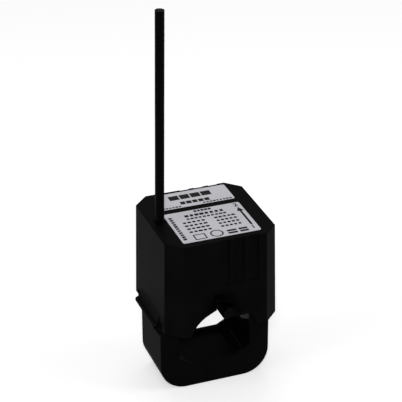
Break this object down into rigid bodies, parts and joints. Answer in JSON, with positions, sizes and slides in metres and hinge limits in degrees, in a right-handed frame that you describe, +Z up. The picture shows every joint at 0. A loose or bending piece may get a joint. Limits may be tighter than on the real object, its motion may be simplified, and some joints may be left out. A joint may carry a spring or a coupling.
{
  "type": "current transformer",
  "caption": "Split-core current transformer: a boxy upper housing on a U-shaped hinged jaw with a window for the conductor and an output lead from the top.",
  "frame": {"origin": "middle of the jaw's flat underside, which the part stands on", "axes": "+Z up, out of the housing's top; Y along the conductor, -Y out of the front with the grip flutes; -X to the hinge, +X to the latch"},
  "size_m": [0.073, 0.0668, 0.2232],
  "materials": {
    "housing_plastic": "fine spark-eroded black moulding",
    "liner_plastic": "matt black moulding",
    "core_steel": "wound strip, bonded, ground pole faces",
    "bobbin_plastic": "natural nylon",
    "copper_wire": "enamelled copper wire",
    "wrap_tape": "polyester tape",
    "tinned_pin": "tinned",
    "core_insulation_brown": "PVC insulation",
    "core_insulation_blue": "PVC insulation",
    "bush_rubber": "soft matt",
    "lead_jacket": "satin PVC jacket",
    "label_film": "satin polyester label film",
    "pin_steel": "ground",
    "spring_steel": "spring strip",
    "stop_plastic": "dark grey moulding"
  },
  "bodies": {
    "upper": {"housing": "housing_plastic", "arch_liner": "liner_plastic", "upper_core": "core_steel", "bobbin": "bobbin_plastic", "secondary_winding": "copper_wire", "winding_wrap": "wrap_tape", "terminal_pins": "tinned_pin", "lead_core_1": "core_insulation_brown", "lead_core_2": "core_insulation_blue", "lead_clamp": "liner_plastic", "cable_bush": "bush_rubber", "output_lead": "lead_jacket", "rating_label": "label_film", "header_label": "label_film", "hinge_pin": "pin_steel"},
    "jaw": {"jaw_shell": "housing_plastic", "jaw_liner": "liner_plastic", "lower_core": "core_steel", "left_spring": "spring_steel", "right_spring": "spring_steel", "conductor_stop": "stop_plastic"}
  },
  "joints": [
    {"name": "jaw_hinge", "type": "hinge", "parent": "upper", "child": "jaw", "pos_m": [-0.0347, 0, 0.0438], "axis": [0, 1, 0], "range_deg": [0, 80]}
  ]
}
